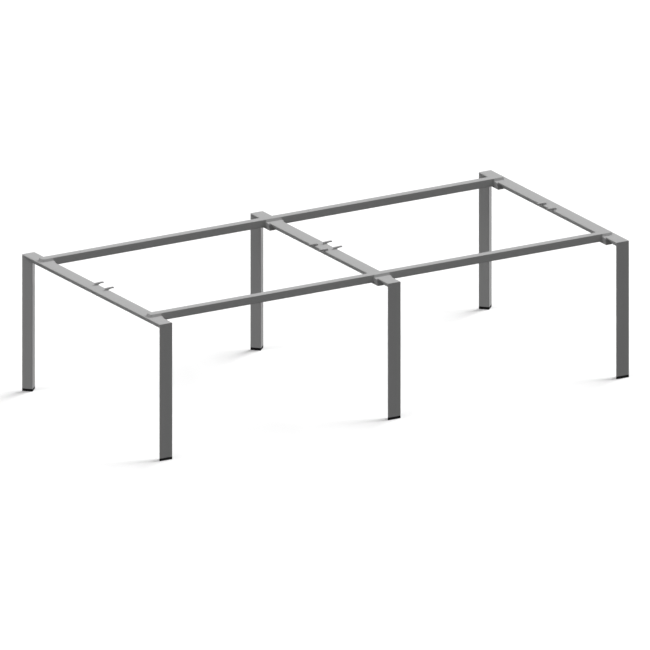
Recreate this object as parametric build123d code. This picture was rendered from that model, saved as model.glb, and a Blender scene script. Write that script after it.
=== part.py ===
"""Bench table frame on triangular tube legs.

Three portal leg frames, each a cross beam mitred onto two legs of triangular steel tube, carry two bays of
square rails. A cast clamp at each rail end hooks over the edge of the beam, and pairs of hooks on the beams
hold cable trays under the table tops.

The origin is on the floor under the middle of the frame. X runs along the bench, Y across it and Z up.
Sizes are in millimetres.
"""
import os
from math import radians, tan

from build123d import *

# Whole frame
beam_top = 720.0              # floor to the flat top of the cross beams
frame_width = 1360.0          # over the outer faces of the legs
frame_pitch = 1333.0          # from one leg frame to the next

# Triangular tube of the legs and beams: one flat face, and an apex that points into the frame
tube_face = 74.0
tube_depth = 40.0
tube_corner = 3.0
tube_wall = 2.0

# Plastic feet
foot_height = 14.0
foot_edge = 1.5               # rounding round the sole
foot_floor = 4.0              # thickness under the hollow
foot_plug = 26.0              # length of the plug inside the leg
foot_plug_wall = 2.6
foot_plug_corner = 3.0
foot_plug_lead = 1.0          # chamfer that leads the plug into the tube
foot_clearance = 0.2

# Square rails
rail_size = 40.0
rail_corner = 2.0
rail_wall = 1.5
rail_inner_corner = 0.8
rail_inset = 147.5            # from the outer faces of the legs to the rail's middle line
rail_rise = 13.5              # rail top above beam top

# Holes through which screws hold the table tops
top_hole_spacing = 900.0      # along each rail
top_hole_bore = 5.5           # in the upper wall, for the screw
top_hole_access = 12.0        # in the lower wall, for the driver

# Cast clamps between rails and beams
clamp_neck = 15.0             # from the beam's edge to the end of the rail
clamp_fit = 0.2               # between the clamp's jaw and the beam's sloping face
jaw_width = 98.0
jaw_toe = 5.0                 # end of the jaw, measured from the beam's middle line
jaw_lip = 10.5                # from the beam's edge to the jaw's outer wall, level with the beam's top
jaw_foot_lip = 1.0            # the same at the foot of that wall
jaw_shoulder = 12.0           # rounding of the upper corners
jaw_corner = 3.0              # rounding of the lower corners
jaw_edge = 2.0                # rounding round the outer wall
jaw_crease = 3.0              # hollow rounding between that wall and the neck
tongue_slope = 22.0           # lean of the tongue's sides, in degrees from upright
tongue_past_middle = 15.0     # reach of an end clamp's tongue past the beam's middle line
tongue_corner = 10.0          # plan rounding of that tongue's top
tongue_edge = 1.5             # rounding of the top edges
tongue_gap = 0.6              # between the two tongues that meet on the middle beam
spigot_length = 46.0
spigot_wall = 5.0
spigot_corner = 1.6
spigot_lead = 1.5
spigot_clearance = 0.25

# Bolts that hold each clamp to its beam, driven up from below
bolt_bore = 6.0
bolt_clearance = 0.15         # radial, in the clamp
bolt_beam_clearance = 0.4     # radial, in the beam's walls
bolt_head = 10.0
bolt_head_height = 6.0
bolt_socket = 5.0             # across the flats of the hexagon
bolt_socket_depth = 3.0
bolt_head_edge = 0.6          # rounding of the head's rim
bolt_recess = 8.0             # depth of the counterbore in the jaw
bolt_recess_clearance = 0.6   # radial, round the head
bolt_inset = 18.0             # from the beam's edge
bolt_spacing = 32.0           # across the rail
bolt_cover = 3.5              # metal left over the bolt's tip in the tongue

# Screws that hold each rail on its spigot, driven up from below
screw_bore = 6.0
screw_clearance = 0.15
screw_head = 11.0
screw_head_height = 3.3
screw_socket = 4.0
screw_socket_depth = 1.8
screw_head_edge = 2.4         # rounding that domes the head
screw_first = 12.0            # from the end of the rail
screw_spacing = 22.0
screw_tip = 1.0               # how far the screw stands out of the spigot's wall

# Tray hooks, forged bars that are welded on the beams
hook_width = 11.0
hook_spacing = 100.0
hook_heel = 22.0              # length that stands on the beam, from the beam's edge
hook_heel_corner = 5.0        # rounding of the heel's upper corner
hook_crest = 13.0             # height of the back above the beam, under the rail tops
hook_crest_reach = 7.0        # from the beam's edge to the crest
hook_heel_drop = 1.5          # fall of the back from the crest to the heel
hook_tip_drop = 0.2           # fall of the back from the crest to the tip
hook_reach = 30.0             # from the beam's edge to the tip
hook_tip_radius = 4.0
hook_depth = 7.8              # from the crest down to the underside half-way out
hook_flat = 0.6               # left between the rounded edges of the tip and its middle

# Places that follow from these
frame_lines = {"left": -frame_pitch, "middle": 0.0, "right": frame_pitch}
beam_edge = tube_face / 2
rail_end = beam_edge + clamp_neck
rail_length = frame_pitch - 2 * rail_end
rail_top = beam_top + rail_rise
rail_line = frame_width / 2 - rail_inset
rail_lines = {"front": -rail_line, "rear": rail_line}
bay_lines = {"left": -frame_pitch / 2, "right": frame_pitch / 2}
bolt_line = beam_edge - bolt_inset
screw_lines = [rail_end + screw_first, rail_end + screw_first + screw_spacing]
spigot_size = rail_size - 2 * rail_wall - 2 * spigot_clearance
rail_underside = rail_rise - rail_size

# Each clamp sits on one side of a beam and points along the rail that it holds, to +X (1) or -X (-1)
clamp_places = [
    ("left", 1, "left_bay", "left"),
    ("middle", -1, "left_bay", "right"),
    ("middle", 1, "right_bay", "left"),
    ("right", -1, "right_bay", "right"),
]


def upright(radius, bottom, top):
    """Upright cylinder between two heights."""
    return Pos(0, 0, (bottom + top) / 2) * Cylinder(radius, top - bottom)


def facing(direction):
    """Turn that points a piece made for +X to +X or -X."""
    return Rot(0, 0, 0 if direction > 0 else 180)


def tube_outline(grow=0.0, corner=None):
    """Triangle with three equal round corners. The flat side lies on y = 0 and the apex points to -Y.

    grow moves the sides out. The corners stay concentric with the tube's own, unless corner gives a radius.
    """
    half = tube_face / 2 - tube_corner
    centres = Polyline((-half, -tube_corner), (half, -tube_corner), (0, tube_corner - tube_depth), close=True)
    core = make_face(centres)
    if corner is None:
        return offset(core, amount=tube_corner + grow, kind=Kind.ARC)
    core = offset(core, amount=tube_corner + grow - corner, kind=Kind.INTERSECTION)
    return offset(core, amount=corner, kind=Kind.ARC)


def tube_section():
    """Section of the triangular tube."""
    return tube_outline() - tube_outline(-tube_wall)


def mitre(side):
    """Plane of the welded corner at the front (-1) or rear (1). Its normal points into the beam."""
    return Plane(origin=(0, side * frame_width / 2, beam_top), x_dir=(1, 0, 0), z_dir=(0, -side, 1))


def cross_beam(clamp_sides):
    """Beam with its flat face up, mitred at both ends and drilled for the bolts of its clamps."""
    beam = extrude(Plane.XZ * tube_section(), amount=frame_width / 2, both=True)
    beam = Pos(0, 0, beam_top) * beam
    for side in (-1, 1):
        beam = split(beam, bisect_by=mitre(side), keep=Keep.TOP)
    drill = upright(bolt_bore / 2 + bolt_beam_clearance, beam_top - tube_depth, beam_top + tube_wall)
    for side in clamp_sides:
        for y in rail_lines.values():
            for across in (-bolt_spacing / 2, bolt_spacing / 2):
                beam -= Pos(side * bolt_line, y + across, 0) * drill
    return beam


def rear_leg():
    """Leg with its flat face to the rear, square at the foot and mitred at the top."""
    leg = extrude(Pos(0, frame_width / 2, foot_height) * tube_section(), amount=beam_top - foot_height)
    return split(leg, bisect_by=mitre(1), keep=Keep.BOTTOM)


def rear_foot():
    """Moulded foot: a sole with the leg's outline, and a hollow plug that grips inside the tube."""
    sole = extrude(tube_outline(), amount=foot_height)
    sole = fillet(sole.faces().sort_by(Axis.Z)[0].edges(), foot_edge)
    plug_grow = -tube_wall - foot_clearance
    plug = extrude(Pos(0, 0, foot_height) * tube_outline(plug_grow, foot_plug_corner), amount=foot_plug)
    plug = chamfer(plug.faces().sort_by(Axis.Z)[-1].edges(), foot_plug_lead)
    hollow_outline = tube_outline(plug_grow - foot_plug_wall, foot_plug_corner - foot_plug_lead)
    hollow = extrude(Pos(0, 0, foot_floor) * hollow_outline, amount=foot_height + foot_plug - foot_floor)
    return Pos(0, frame_width / 2, 0) * (sole + plug - hollow)


def rail():
    """Square tube along X with its middle at the origin's X and Y, drilled for its own and the tops' screws."""
    inner = rail_size - 2 * rail_wall
    section = RectangleRounded(rail_size, rail_size, rail_corner) - RectangleRounded(inner, inner, rail_inner_corner)
    tube = extrude(Plane.YZ * section, amount=rail_length / 2, both=True)
    tube = Pos(0, 0, rail_top - rail_size / 2) * tube
    upper_wall = (rail_top - 2 * rail_wall, rail_top + rail_wall)
    lower_wall = (rail_top - rail_size - rail_wall, rail_top - rail_size + 2 * rail_wall)
    for side in (-1, 1):
        x = side * top_hole_spacing / 2
        tube -= Pos(x, 0, 0) * upright(top_hole_bore / 2, *upper_wall)
        tube -= Pos(x, 0, 0) * upright(top_hole_access / 2, *lower_wall)
        for line in screw_lines:
            x = side * (frame_pitch / 2 - line)
            tube -= Pos(x, 0, 0) * upright(screw_bore / 2 + screw_clearance, *lower_wall)
    return tube


def clamp(meets_another):
    """Cast clamp with the beam's middle line and top at its origin, holding a rail that runs to +X.

    The tongue lies on the beam. The jaw, wider than the rail, closes under the beam's sloping face down to the
    level of the apex. The neck has the rail's outline and the spigot fills the rail's end.
    """
    wall = beam_edge + jaw_lip
    jaw_outline = Pos(0, -tube_depth / 2) * Rectangle(jaw_width, tube_depth)
    jaw_outline = fillet(jaw_outline.vertices().group_by(Axis.Y)[-1], jaw_shoulder)
    jaw_outline = fillet(jaw_outline.vertices().group_by(Axis.Y)[0], jaw_corner)
    jaw = extrude(Plane.YZ.offset(jaw_toe) * jaw_outline, amount=wall - jaw_toe)
    wall_plane = Plane(origin=(wall, 0, 0), x_dir=(0, 1, 0), z_dir=(tube_depth, 0, jaw_foot_lip - jaw_lip))
    jaw = split(jaw, bisect_by=wall_plane, keep=Keep.BOTTOM)
    jaw = fillet(jaw.faces().sort_by(Axis.X)[-1].edges(), jaw_edge)
    beam_room = extrude(Plane.XZ * tube_outline(clamp_fit), amount=jaw_width, both=True)
    jaw -= Pos(0, 0, -clamp_fit) * beam_room

    lean = rail_rise * tan(radians(tongue_slope))
    seat_start = -tongue_past_middle - lean
    seat_stop = wall - jaw_edge
    seat_length = seat_stop + 2 * lean - seat_start
    seat = Rectangle(seat_length, rail_size + 2 * lean)
    seat = fillet(seat.vertices().group_by(Axis.X)[0], tongue_corner + lean)
    tongue = extrude(Pos(seat_start + seat_length / 2, 0, 0) * seat, amount=rail_rise, taper=tongue_slope)
    tongue = fillet(tongue.faces().sort_by(Axis.Z)[-1].edges(), tongue_edge)
    tongue = split(tongue, bisect_by=Plane.YZ.offset(seat_stop), keep=Keep.BOTTOM)
    if meets_another:
        tongue = split(tongue, bisect_by=Plane.YZ.offset(tongue_gap / 2), keep=Keep.TOP)

    neck_middle = (rail_rise + rail_underside) / 2
    neck_start = beam_edge + jaw_foot_lip
    neck = extrude(Plane.YZ.offset(neck_start) * Pos(0, neck_middle)
                   * RectangleRounded(rail_size, rail_size, rail_corner), amount=rail_end - neck_start)

    spigot_plane = Plane.YZ.offset(rail_end)
    plug = extrude(spigot_plane * Pos(0, neck_middle) * RectangleRounded(spigot_size, spigot_size, spigot_corner),
                   amount=spigot_length)
    plug = chamfer(plug.faces().sort_by(Axis.X)[-1].edges(), spigot_lead)
    pocket_size = spigot_size - 2 * spigot_wall
    pocket = extrude(spigot_plane.offset(spigot_wall) * Pos(0, neck_middle)
                     * RectangleRounded(pocket_size, pocket_size, spigot_corner), amount=spigot_length)

    body = neck + jaw + tongue
    crease = [edge for edge in body.edges()
              if abs(wall_plane.to_local_coords(edge.center()).Z) < clamp_fit
              and abs(edge.center().Y) < rail_size / 2 + clamp_fit and edge.center().Z < -jaw_edge]
    body = fillet(crease, jaw_crease) + (plug - pocket)
    bolt_hole = upright(bolt_bore / 2 + bolt_clearance, -tube_depth, rail_rise - bolt_cover)
    recess = upright(bolt_head / 2 + bolt_recess_clearance, -tube_depth, bolt_recess - tube_depth)
    for y in (-bolt_spacing / 2, bolt_spacing / 2):
        body -= Pos(bolt_line, y, 0) * (bolt_hole + recess)
    spigot_floor = neck_middle - spigot_size / 2
    for line in screw_lines:
        body -= Pos(line, 0, 0) * upright(screw_bore / 2 + screw_clearance, spigot_floor, neck_middle)
    return body


def socket_screw(bore, length, head, head_height, head_edge, socket, socket_depth):
    """Upright screw with its head below z = 0, its shank above, and a hexagon socket in the head."""
    cap = upright(head / 2, -head_height, 0)
    cap = fillet(cap.edges().sort_by(Axis.Z)[0], head_edge)
    hexagon = RegularPolygon(socket / 2, 6, major_radius=False)
    drive = extrude(Pos(0, 0, -head_height) * hexagon, amount=socket_depth)
    return cap + upright(bore / 2, 0, length) - drive


def clamp_bolts():
    """The two bolts of every clamp, with heads in the jaw's recesses and tips blind in the tongue."""
    seat = bolt_recess - tube_depth
    bolt = socket_screw(bolt_bore, rail_rise - bolt_cover - seat, bolt_head, bolt_head_height, bolt_head_edge,
                        bolt_socket, bolt_socket_depth)
    bolts = []
    for frame, direction, _, _ in clamp_places:
        for y in rail_lines.values():
            for across in (-bolt_spacing / 2, bolt_spacing / 2):
                x = frame_lines[frame] + direction * bolt_line
                bolts.append(Pos(x, y + across, beam_top + seat) * bolt)
    return Compound(bolts)


def rail_screws():
    """The two screws at every rail end, with heads under the rail and tips inside the spigot."""
    length = rail_wall + spigot_clearance + spigot_wall + screw_tip
    screw = socket_screw(screw_bore, length, screw_head, screw_head_height, screw_head_edge, screw_socket,
                         screw_socket_depth)
    screws = []
    for frame, direction, _, _ in clamp_places:
        for y in rail_lines.values():
            for line in screw_lines:
                x = frame_lines[frame] + direction * line
                screws.append(Pos(x, y, beam_top + rail_underside) * screw)
    return Compound(screws)


def hook():
    """Forged hook over the beam's edge, pointing to +X, with that edge and the beam's top at its origin."""
    heel = (-hook_heel, 0)
    heel_top = (-hook_heel, hook_crest - hook_heel_drop)
    tip_middle = hook_reach - hook_tip_radius
    tip_height = hook_crest - hook_tip_drop - hook_tip_radius
    tip_top = (tip_middle, tip_height + hook_tip_radius)
    tip_bottom = (tip_middle, tip_height - hook_tip_radius)
    hollow = (tip_middle / 2, hook_crest - hook_depth)
    root = (-tube_corner, 0)
    outline = [
        Line(heel, heel_top),
        ThreePointArc(heel_top, (hook_crest_reach, hook_crest), tip_top),
        ThreePointArc(tip_top, (hook_reach, tip_height), tip_bottom),
        ThreePointArc(tip_bottom, hollow, root),
        Line(root, heel),
    ]
    bar = extrude(Plane.XZ * make_face(outline), amount=hook_width / 2, both=True)
    heel_end = bar.faces().sort_by(Axis.X)[0]
    bar = fillet(heel_end.edges().sort_by(Axis.Z)[-1], hook_heel_corner)
    flanks = bar.faces().sort_by(Axis.Y)
    edge_radius = hook_tip_radius - hook_flat
    rim = [edge for flank in (flanks[0], flanks[-1]) for edge in flank.edges() if edge.center().Z > edge_radius / 2]
    return fillet(rim, edge_radius)


pieces = {}

# Leg frames: the front legs and feet are the rear ones turned half round
for frame, x in frame_lines.items():
    sides = [direction for place, direction, _, _ in clamp_places if place == frame]
    pieces[f"{frame}_cross_beam"] = Pos(x, 0, 0) * cross_beam(sides)
    for end, turn in (("front", Rot(0, 0, 180)), ("rear", Rot(0, 0, 0))):
        pieces[f"{frame}_{end}_leg"] = Pos(x, 0, 0) * turn * rear_leg()
        pieces[f"{frame}_{end}_foot"] = Pos(x, 0, 0) * turn * rear_foot()

# Rails of both bays
for bay, x in bay_lines.items():
    for end, y in rail_lines.items():
        pieces[f"{bay}_bay_{end}_rail"] = Pos(x, y, 0) * rail()

# Clamps at both ends of every rail
for frame, direction, bay, rail_side in clamp_places:
    for end, y in rail_lines.items():
        place = Pos(frame_lines[frame], y, beam_top) * facing(direction)
        pieces[f"{bay}_{end}_{rail_side}_clamp"] = place * clamp(frame == "middle")

# Hooks in pairs, facing into each bay from both of its beams
for frame, direction, bay, rail_side in clamp_places:
    for end, y in (("front", -hook_spacing / 2), ("rear", hook_spacing / 2)):
        place = Pos(frame_lines[frame] + direction * beam_edge, y, beam_top) * facing(direction)
        pieces[f"{bay}_{end}_{rail_side}_hook"] = place * hook()

# Fasteners
pieces["clamp_bolts"] = clamp_bolts()
pieces["rail_screws"] = rail_screws()

os.makedirs("parts", exist_ok=True)
for name, piece in pieces.items():
    export_step(piece, f"parts/{name}.step")
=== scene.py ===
"""Bench table frame with triangular legs: finishes, welds, floor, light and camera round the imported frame."""
import math

import bpy
import numpy as np
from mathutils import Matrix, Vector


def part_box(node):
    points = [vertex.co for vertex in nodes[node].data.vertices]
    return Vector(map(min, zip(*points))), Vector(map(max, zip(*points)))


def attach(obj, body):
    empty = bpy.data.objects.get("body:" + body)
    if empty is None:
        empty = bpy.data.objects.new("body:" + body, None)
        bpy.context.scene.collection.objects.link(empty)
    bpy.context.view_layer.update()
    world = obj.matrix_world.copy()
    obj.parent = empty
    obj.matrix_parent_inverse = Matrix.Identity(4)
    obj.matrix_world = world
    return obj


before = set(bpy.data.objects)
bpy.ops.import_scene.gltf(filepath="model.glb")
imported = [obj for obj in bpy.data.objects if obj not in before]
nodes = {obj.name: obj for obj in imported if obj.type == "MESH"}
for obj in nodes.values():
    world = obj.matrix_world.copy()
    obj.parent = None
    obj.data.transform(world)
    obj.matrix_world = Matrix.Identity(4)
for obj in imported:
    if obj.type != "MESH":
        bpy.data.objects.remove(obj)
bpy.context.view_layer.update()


# Legs and cross beams
# Triangular steel tube, cut to 45 degrees, welded into three portals and powder coated in a satin grey.
# The film shows a fine orange peel and very soft changes of tone where the gun laid it thicker.

frame_grey = 0.318
film_spread = 0.035            # share by which the thin film is darker and the thick film lighter
cloud_scale = 5.0              # scales of a pattern are in patches per metre
grain_scale = 260.0
cloud_share = 0.7
grain_share = 0.3
film_roughness = 0.58
film_roughness_spread = 0.10
film_specular = 0.12
peel_strength = 0.35
tube_peel_size = 0.0016
tube_peel_depth = 0.00005


class Shade:
    """A socket in a material's node tree. Sums, differences and products of shades add Math nodes there."""

    def __init__(self, tree, socket=None):
        self.tree = tree
        self.socket = socket

    def node(self, kind, settings=None, sockets=None, output=0):
        """Adds a node, its settings first and then the values or links of its sockets.

        Gives one of the node's outputs, or None for a node that has none.
        """
        made = self.tree.nodes.new(kind)
        for name, value in (settings or {}).items():
            setattr(made, name, value)
        for name, value in (sockets or {}).items():
            if isinstance(value, Shade):
                self.tree.links.new(value.socket, made.inputs[name])
            else:
                made.inputs[name].default_value = value
        return Shade(self.tree, made.outputs[output]) if made.outputs else None

    def maths(self, operation, first, second):
        return self.node("ShaderNodeMath", {"operation": operation}, {0: first, 1: second})

    def __add__(self, other):
        return self.maths("ADD", self, other)

    __radd__ = __add__

    def __sub__(self, other):
        return self.maths("SUBTRACT", self, other)

    def __rsub__(self, other):
        return self.maths("SUBTRACT", other, self)

    def __mul__(self, other):
        return self.maths("MULTIPLY", self, other)

    __rmul__ = __mul__


def noise(shade, scale, detail, roughness=0.5):
    """Soft noise from 0 to 1 in the piece's own coordinates."""
    place = shade.node("ShaderNodeTexCoord", output="Object")
    sockets = {"Vector": place, "Scale": scale, "Detail": detail, "Roughness": roughness}
    return shade.node("ShaderNodeTexNoise", None, sockets, "Fac")


def between(shade, share, first, second):
    """Colour that goes from the first to the second with the share.

    Inputs 0, 6 and 7 of a Mix node are its share and two colours, and output 2 is the mixed colour.
    """
    return shade.node("ShaderNodeMix", {"data_type": "RGBA"}, {0: share, 6: first, 7: second}, 2)


def grey(level):
    """Colour of a neutral grey."""
    return (level, level, level, 1.0)


def finish_of(name, recipe):
    """New material whose Principled shader takes the sockets that the recipe gives for its node tree."""
    material = bpy.data.materials.new(name)
    material.use_nodes = True
    tree = material.node_tree
    shader = next(n for n in tree.nodes if n.type == "BSDF_PRINCIPLED")
    for socket, value in recipe(Shade(tree)).items():
        if isinstance(value, Shade):
            tree.links.new(value.socket, shader.inputs[socket])
        else:
            shader.inputs[socket].default_value = value
    return material


def dress(name, material):
    """Puts a finish on a solid of the frame."""
    nodes[name].data.materials.clear()
    nodes[name].data.materials.append(material)


def satin_grey(peel_size, peel_depth):
    """Recipe of the powder coat: grey film, broad soft clouds in tone and gloss, and a fine orange peel."""

    def recipe(shade):
        cloud = noise(shade, cloud_scale, detail=3.0)
        grain = noise(shade, grain_scale, detail=2.0)
        peel = noise(shade, 1 / peel_size, detail=1.5, roughness=0.4)
        blend = cloud * cloud_share + grain * grain_share
        thin = grey(frame_grey * (1 - film_spread))
        thick = grey(frame_grey * (1 + film_spread))
        relief = {"Strength": peel_strength, "Distance": peel_depth, "Height": peel}
        return {
            "Base Color": between(shade, blend, thin, thick),
            "Roughness": film_roughness + film_roughness_spread * cloud,
            "Specular IOR Level": film_specular,
            "Normal": shade.node("ShaderNodeBump", None, relief),
        }

    return recipe


tube_coat = finish_of("satin_powder_coat", satin_grey(tube_peel_size, tube_peel_depth))
portals = ("left", "middle", "right")
ends = {"front": -1, "rear": 1}
for portal in portals:
    dress(f"{portal}_cross_beam", tube_coat)
    for end in ends:
        dress(f"{portal}_{end}_leg", tube_coat)


# Corner welds
# Each mitre is welded round and ground flush on the flat outer faces. On the sloping faces inside the
# corner the bead is left as it was laid, a row of small overlapping scales under the paint.

tube_corner = 0.003
corner_points = 9              # along the round apex
bead_radius = 0.0026
bead_sides = 12
bead_tip = 0.02                # least radius at the bead's ends, as a share
scale_pitch = 0.0032
scale_depth = 0.16
weld_step = 0.0008


def skin(name, points, material):
    """Closed skin over a grid of points, with rows along a path and columns round it.

    Quads join each row to the next and wrap round the columns. A fan to the middle of the first row, and one
    to that of the last, close the ends.
    """
    rows, columns, _ = points.shape
    at = np.arange(rows * columns).reshape(rows, columns)
    beside = np.roll(at, -1, axis=1)
    quads = np.stack([at[:-1], beside[:-1], beside[1:], at[1:]], axis=-1).reshape(-1, 4)
    start = np.stack([beside[0], at[0], np.full(columns, rows * columns)], axis=-1)
    stop = np.stack([at[-1], beside[-1], np.full(columns, rows * columns + 1)], axis=-1)
    corners = np.vstack([points.reshape(-1, 3), points[[0, -1]].mean(axis=1)])
    mesh = bpy.data.meshes.new(name)
    mesh.from_pydata(corners.tolist(), [], quads.tolist() + start.tolist() + stop.tolist())
    mesh.shade_smooth()
    mesh.materials.append(material)
    piece = bpy.data.objects.new(name, mesh)
    bpy.context.scene.collection.objects.link(piece)
    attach(piece, "root")


def bead(path, outward, radius):
    """Grid of a weld bead along a path: a circle across the path whose radius swells in overlapping scales.

    The radius is the bead's times one plus the scale depth times a saw-tooth of the length run so far, and it
    closes down to the tip over the first and last bead radius.
    """
    step = np.gradient(path, axis=0)
    tangent = step / np.linalg.norm(step, axis=1, keepdims=True)
    side = np.cross(tangent, outward)
    side /= np.linalg.norm(side, axis=1, keepdims=True)
    up = np.cross(side, tangent)
    run = np.concatenate([[0.0], np.cumsum(np.linalg.norm(np.diff(path, axis=0), axis=1))])
    to_end = np.clip(np.minimum(run, run[-1] - run) / radius, 0, 1)
    close = np.maximum(np.sqrt(1 - (1 - to_end) ** 2), bead_tip)
    size = radius * close * (1 + scale_depth * (run / scale_pitch % 1.0))
    turn = np.linspace(0, 2 * np.pi, bead_sides, endpoint=False)
    ring = np.cos(turn)[None, :, None] * up[:, None, :] + np.sin(turn)[None, :, None] * side[:, None, :]
    return path[:, None, :] + size[:, None, None] * ring


def along(corners, spacing):
    """Points at an even spacing along straight runs between corners, for rows of any width."""
    run = np.concatenate([[0.0], np.cumsum(np.linalg.norm(np.diff(corners, axis=0), axis=1))])
    marks = np.linspace(0, run[-1], int(run[-1] / spacing))
    return np.stack([np.interp(marks, run, column) for column in corners.T], axis=1)


def apex_section(half_face, depth):
    """Sloping sides and apex of the tube's section as (across, down), from one face corner to the other.

    The sides touch three equal circles; the round apex is the lower arc between their points of contact.
    """
    lean = math.atan2(depth - 2 * tube_corner, half_face - tube_corner)
    touch = np.array([math.sin(lean), math.cos(lean)]) * tube_corner
    turn = np.linspace(lean, math.pi - lean, corner_points)
    arc = np.stack([-np.cos(turn), np.sin(turn)], axis=1) * tube_corner + [0.0, depth - tube_corner]
    shoulder = np.array([half_face - tube_corner, tube_corner])
    right = shoulder + touch
    return np.vstack([right * [-1, 1], arc, right])


for portal in portals:
    beam_low, beam_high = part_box(f"{portal}_cross_beam")
    middle = (beam_low.x + beam_high.x) / 2
    section = along(apex_section((beam_high.x - beam_low.x) / 2, beam_high.z - beam_low.z), weld_step)
    slope = np.gradient(section, axis=0)
    across, down = -slope[:, 1], slope[:, 0]
    for end, side in ends.items():
        outer = beam_high.y if side > 0 else beam_low.y
        path = np.stack([middle + section[:, 0], outer - side * section[:, 1],
                         beam_high.z - section[:, 1]], axis=1)
        outward = np.stack([2 * across, -side * down, -down], axis=1)
        skin(f"{portal}_{end}_corner_weld", bead(path, outward, bead_radius), tube_coat)


# Feet
# Black moulded plastic shoes with the leg's own outline, pushed into the open ends of the legs.
# The mould was spark eroded, which leaves a fine dull grain.

plastic_dark = (0.0020, 0.0020, 0.0022, 1.0)
plastic_light = (0.0045, 0.0045, 0.0048, 1.0)
plastic_roughness = 0.55
plastic_roughness_spread = 0.12
plastic_specular = 0.10
flow_scale = 40.0
spark_scale = 1400.0
spark_strength = 0.4
spark_depth = 0.00006


def dull_plastic(shade):
    """Recipe of the moulded plastic: near black and dull, with faint flow clouds and a fine grain."""
    spark = noise(shade, spark_scale, detail=2.0)
    flow = noise(shade, flow_scale, detail=2.0)
    relief = {"Strength": spark_strength, "Distance": spark_depth, "Height": spark}
    return {
        "Base Color": between(shade, flow, plastic_dark, plastic_light),
        "Roughness": plastic_roughness + plastic_roughness_spread * flow,
        "Specular IOR Level": plastic_specular,
        "Normal": shade.node("ShaderNodeBump", None, relief),
    }


foot_plastic = finish_of("black_moulded_plastic", dull_plastic)
for portal in portals:
    for end in ends:
        dress(f"{portal}_{end}_foot", foot_plastic)


# Rails
# Square steel tube, powder coated with the same grey as the portals, drilled below for its own screws and
# through both walls for those of the table tops.

bays = ("left_bay", "right_bay")
for bay in bays:
    for end in ends:
        dress(f"{bay}_{end}_rail", tube_coat)


# Clamps
# Die-cast aluminium, hooked over the beams' edges and bolted up through the jaw, with a spigot in the rail.
# They are blasted and powder coated, and the blasted casting gives the film a slightly coarser skin.

cast_peel_size = 0.0022
cast_peel_depth = 0.00009

cast_coat = finish_of("powder_coat_on_casting", satin_grey(cast_peel_size, cast_peel_depth))
sides = ("left", "right")
for bay in bays:
    for end in ends:
        for side in sides:
            dress(f"{bay}_{end}_{side}_clamp", cast_coat)


# Tray hooks
# Small forged hooks with rounded edges, set on the beams and welded round the heel before painting.
# The bead follows the heel's flanks and its rounded corners, and stops short of the beam's edge.

hook_bead_radius = 0.0016
heel_corner = 0.0034
heel_points = 6                # along each rounded corner
weld_stop = 0.008              # from the beam's edge
carriers = {
    ("left_bay", "left"): "left",
    ("left_bay", "right"): "middle",
    ("right_bay", "left"): "middle",
    ("right_bay", "right"): "right",
}

for bay in bays:
    for end in ends:
        for side in sides:
            name = f"{bay}_{end}_{side}_hook"
            dress(name, tube_coat)
            low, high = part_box(name)
            beam_low, beam_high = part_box(f"{carriers[bay, side]}_cross_beam")
            if side == "left":
                heel, root = low.x, beam_high.x - weld_stop
            else:
                heel, root = high.x, beam_low.x + weld_stop
            away = 1 if root > heel else -1
            turn = np.linspace(0, math.pi / 2, heel_points)
            half = (high.y - low.y) / 2
            flank = np.array([[root, half]])
            bend = np.stack([heel + away * heel_corner * (1 - np.sin(turn)),
                             half - heel_corner * (1 - np.cos(turn))], axis=1)
            quarter = np.vstack([flank, bend])
            outline = along(np.vstack([quarter, quarter[::-1] * [1, -1]]), weld_step)
            slope = np.gradient(outline, axis=0)
            path = np.stack([outline[:, 0], (low.y + high.y) / 2 + outline[:, 1],
                             np.full(len(outline), beam_high.z)], axis=1)
            outward = np.stack([away * slope[:, 1], -away * slope[:, 0],
                                np.linalg.norm(slope, axis=1)], axis=1)
            skin(f"{name}_weld", bead(path, outward, hook_bead_radius), tube_coat)


# Bolts and screws
# Bright zinc-plated steel screws with a hexagon socket, driven up from below: two in each clamp's jaw and
# two under each rail end.

zinc_cool = (0.52, 0.55, 0.58, 1.0)
zinc_warm = (0.62, 0.61, 0.57, 1.0)
zinc_roughness = 0.26
zinc_roughness_spread = 0.16
zinc_cloud_scale = 120.0


def bright_zinc(shade):
    """Recipe of zinc plate: bright metal with a faint cloud from cool to warm."""
    cloud = noise(shade, zinc_cloud_scale, detail=2.0)
    return {
        "Base Color": between(shade, cloud, zinc_cool, zinc_warm),
        "Metallic": 1.0,
        "Roughness": zinc_roughness + zinc_roughness_spread * cloud,
    }


zinc = finish_of("bright_zinc", bright_zinc)
dress("clamp_bolts", zinc)
dress("rail_screws", zinc)


# Floor
# A wide pale studio floor. The camera, and mirrors in the metal, see it white with the frame's soft shadow.
# Light that bounces off it to the frame is kept low, as over a dark studio floor.

floor_half = 40.0
floor_pale = 0.86
floor_bounce = 0.05

floor_mesh = bpy.data.meshes.new("floor")
floor_corners = [(-floor_half, -floor_half, 0), (floor_half, -floor_half, 0),
                 (floor_half, floor_half, 0), (-floor_half, floor_half, 0)]
floor_mesh.from_pydata(floor_corners, [], [(0, 1, 2, 3)])
floor = bpy.data.objects.new("floor", floor_mesh)
bpy.context.scene.collection.objects.link(floor)


def seen(shade):
    """1 where the ray comes from the camera, a mirror or a clear body, 0 where it only carries light."""
    camera_ray = shade.node("ShaderNodeLightPath", output="Is Camera Ray")
    mirror_ray = shade.node("ShaderNodeLightPath", output="Is Glossy Ray")
    clear_ray = shade.node("ShaderNodeLightPath", output="Is Transmission Ray")
    return camera_ray + mirror_ray + clear_ray


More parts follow.
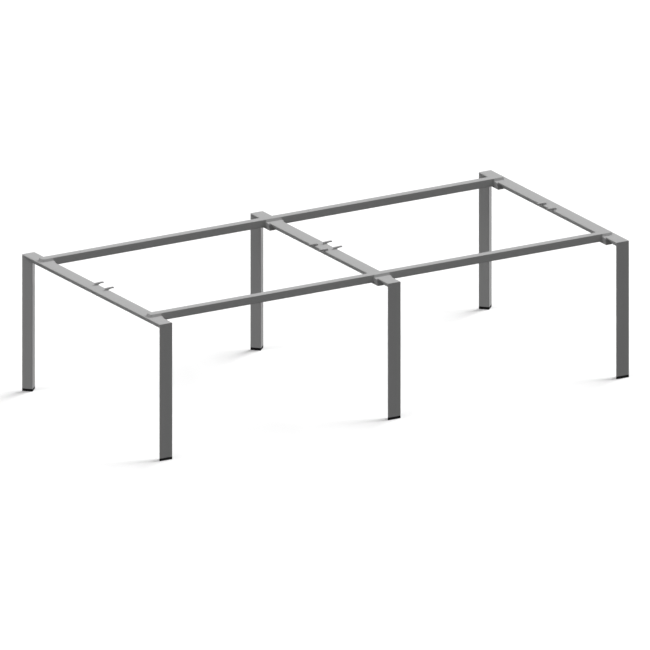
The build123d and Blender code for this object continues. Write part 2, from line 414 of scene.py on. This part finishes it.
pale_floor = bpy.data.materials.new("pale_floor")
pale_floor.use_nodes = True
pale_floor.node_tree.nodes.clear()
floor_shade = Shade(pale_floor.node_tree)
bounce = floor_shade.node("ShaderNodeBsdfDiffuse", None, {"Color": grey(floor_bounce)})
pale = floor_shade.node("ShaderNodeBsdfDiffuse", None, {"Color": grey(floor_pale)})
mixed = floor_shade.node("ShaderNodeMixShader", None, {0: seen(floor_shade), 1: bounce, 2: pale})
floor_shade.node("ShaderNodeOutputMaterial", None, {"Surface": mixed})
floor_mesh.materials.append(pale_floor)


# Light
# A broad soft box from the upper right, a weaker one from the upper left and a faint lamp overhead, as round
# a packshot table, with an even grey surround that the camera sees as white.

surround_level = 0.17
backdrop_level = 1.0


def lamp(name, energy, direction, spread):
    """Distant soft lamp that shines along a direction, with a soft box's angular width in degrees."""
    data = bpy.data.lights.new(name, "SUN")
    data.energy = energy
    data.angle = math.radians(spread)
    made = bpy.data.objects.new(name, data)
    x, y, z = direction
    made.rotation_euler = (0.0, -math.atan2(math.hypot(x, y), -z), math.atan2(y, x))
    bpy.context.scene.collection.objects.link(made)


lamp("overhead", energy=0.3, direction=(0.0, 0.0, -1.0), spread=50)
lamp("right_box", energy=4.4, direction=(-1.0, -0.05, -0.65), spread=50)
lamp("left_box", energy=1.8, direction=(1.0, 0.12, -0.7), spread=70)

world = bpy.data.worlds.new("studio")
bpy.context.scene.world = world
world.use_nodes = True
world.node_tree.nodes.clear()
sky = Shade(world.node_tree)
surround = sky.node("ShaderNodeBackground", None, {"Color": grey(surround_level)})
white = sky.node("ShaderNodeBackground", None, {"Color": grey(backdrop_level)})
backdrop = sky.node("ShaderNodeMixShader", None, {0: seen(sky), 1: surround, 2: white})
sky.node("ShaderNodeOutputWorld", None, {"Surface": backdrop})


# Camera
# Parallel view from the front left and a little above, framed as the photograph is. The aim is the picture's
# middle, measured from the origin along the picture's own axes.

view_turn = math.radians(30.625)
view_drop = math.radians(17.651)
view_width = 3.2652
aim_right = -0.0027
aim_up = 0.2961
distance = 12.0
sight_limit = 200.0

right = np.array([math.cos(view_turn), -math.sin(view_turn), 0.0])
back = np.array([-math.sin(view_turn) * math.cos(view_drop), -math.cos(view_turn) * math.cos(view_drop),
                 math.sin(view_drop)])
up = np.cross(back, right)
camera_data = bpy.data.cameras.new("camera")
camera_data.type = "ORTHO"
camera_data.ortho_scale = view_width
camera_data.clip_end = sight_limit
camera = bpy.data.objects.new("camera", camera_data)
camera.location = aim_right * right + aim_up * up + distance * back
camera.rotation_euler = (math.pi / 2 - view_drop, 0.0, -view_turn)
bpy.context.scene.collection.objects.link(camera)
bpy.context.scene.camera = camera
bpy.context.scene.view_settings.view_transform = "Standard"
